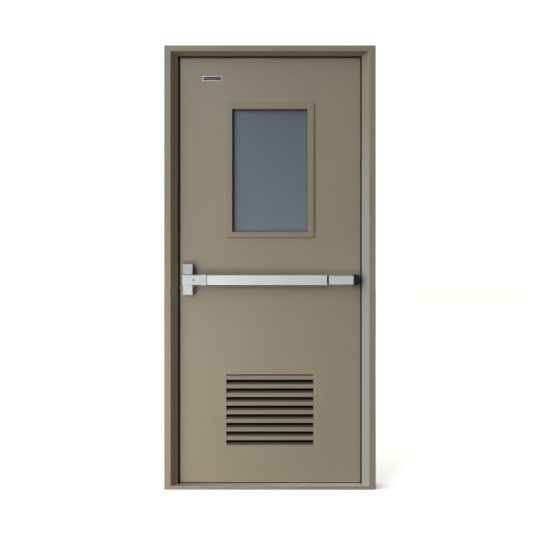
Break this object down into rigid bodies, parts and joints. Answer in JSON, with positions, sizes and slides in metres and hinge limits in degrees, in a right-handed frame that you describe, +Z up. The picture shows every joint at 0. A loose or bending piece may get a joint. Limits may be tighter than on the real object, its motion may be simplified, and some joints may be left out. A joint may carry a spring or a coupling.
{
  "type": "steel fire door",
  "caption": "Single-leaf steel fire door in a four-sided pressed frame, with a vision panel, a lower louvre, a push-bar exit device and side hinges.",
  "frame": {"origin": "middle of the underside of the sill across the width, below the push-side face of the leaf", "axes": "+Z up, +X to the hinge side as seen from the push side, +Y through the door from the push side to the side that the leaf opens to"},
  "size_m": [1, 0.1275, 2.1],
  "materials": {
    "frame_paint": "khaki grey satin powder coat, fine grain",
    "leaf_paint": "khaki grey satin powder coat, fine grain",
    "bead_paint": "khaki grey satin powder coat",
    "core_board": "pale mineral fire board, hidden inside the leaf",
    "seal_rubber": "black matt rubber",
    "glazing_rubber": "dark matt rubber",
    "glass": "frosted blue-grey fire glass",
    "bar_metal": "satin silver, lightly brushed",
    "hinge_steel": "satin stainless steel",
    "cap_plastic": "black moulded plastic"
  },
  "bodies": {
    "frame": {"frame_jamb_latch": "frame_paint", "frame_jamb_hinge": "frame_paint", "frame_head": "frame_paint", "frame_sill": "frame_paint", "seal_jamb_latch": "seal_rubber", "seal_jamb_hinge": "seal_rubber", "seal_head": "seal_rubber", "strike_plate": "hinge_steel", "hinge_top_frame_half": "hinge_steel", "hinge_middle_frame_half": "hinge_steel", "hinge_bottom_frame_half": "hinge_steel", "hinge_top_pin": "hinge_steel", "hinge_middle_pin": "hinge_steel", "hinge_bottom_pin": "hinge_steel"},
    "leaf": {"hinge_top_leaf_half": "hinge_steel", "hinge_middle_leaf_half": "hinge_steel", "hinge_bottom_leaf_half": "hinge_steel", "lock_faceplate": "hinge_steel", "latch_bolt": "hinge_steel", "exit_pad_guides": "hinge_steel", "leaf_front_sheet": "leaf_paint", "leaf_back_sheet": "leaf_paint", "leaf_stile_latch": "leaf_paint", "leaf_stile_hinge": "leaf_paint", "leaf_rail_top": "leaf_paint", "leaf_rail_bottom": "leaf_paint", "louvre": "leaf_paint", "leaf_core": "core_board", "vision_frame_front": "bead_paint", "vision_frame_back": "bead_paint", "vision_glass": "glass", "glazing_seal_front": "glazing_rubber", "glazing_seal_back": "glazing_rubber", "exit_head_body": "bar_metal", "exit_head_cover": "bar_metal", "exit_rail": "bar_metal", "exit_tail_cover": "bar_metal", "exit_pad_collar": "bar_metal", "exit_end_cap": "cap_plastic"},
    "push_bar": {"push_pad": "bar_metal"}
  },
  "joints": [
    {"name": "door_swing", "type": "hinge", "parent": "frame", "child": "leaf", "pos_m": [0.451, 0.058, 0], "axis": [0, 0, -1], "range_deg": [0, 110]},
    {"name": "pad_press", "type": "slide", "parent": "leaf", "child": "push_bar", "axis": [0, 1, 0], "range_m": [0, 0.015], "stiffness_N_per_m": 1500, "springref_m": -0.01}
  ]
}
